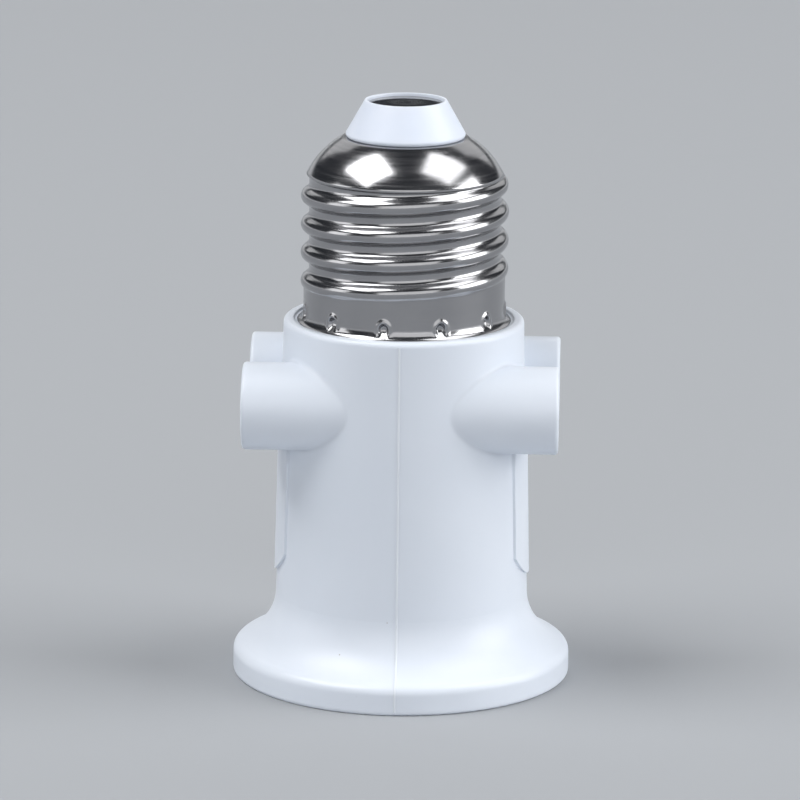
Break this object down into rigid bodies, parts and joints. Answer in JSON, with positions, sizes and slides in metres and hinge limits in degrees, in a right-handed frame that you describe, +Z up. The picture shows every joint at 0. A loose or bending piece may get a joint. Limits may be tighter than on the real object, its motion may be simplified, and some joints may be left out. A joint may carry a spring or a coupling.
{
  "type": "lamp socket adapter",
  "caption": "White moulded screw-in lamp adapter with a flared base holding a lamp socket, a plated screw cap on top and a two-round-pin outlet on each side.",
  "frame": {"origin": "centre of the flange's bottom face, on the axis of the screw cap", "axes": "+Z up along the axis towards the cap's contact, X along the outlets, front parting line at -Y"},
  "size_m": [0.043, 0.043, 0.074],
  "materials": {
    "white_plastic": "smooth moulded, satin gloss",
    "insulator_plastic": "smooth moulded",
    "nickel_plate": "bright nickel plate",
    "contact_plate": "bright nickel plate",
    "brass": "stamped strip",
    "carrier_plastic": "moulded",
    "screw_steel": "zinc plated",
    "live_insulation": "extruded",
    "neutral_insulation": "extruded"
  },
  "bodies": {
    "root": {"housing": "white_plastic", "screw_cap_shell": "nickel_plate", "cap_insulator": "insulator_plastic", "cap_contact": "contact_plate", "lamp_socket_shell": "nickel_plate", "contact_carrier": "carrier_plastic", "centre_contact": "brass", "live_contact_strip": "brass", "neutral_contact_strip": "brass", "live_rivet": "brass", "neutral_rivet": "brass", "carrier_screws": "screw_steel", "live_lead": "live_insulation", "neutral_lead": "neutral_insulation"}
  },
  "joints": []
}
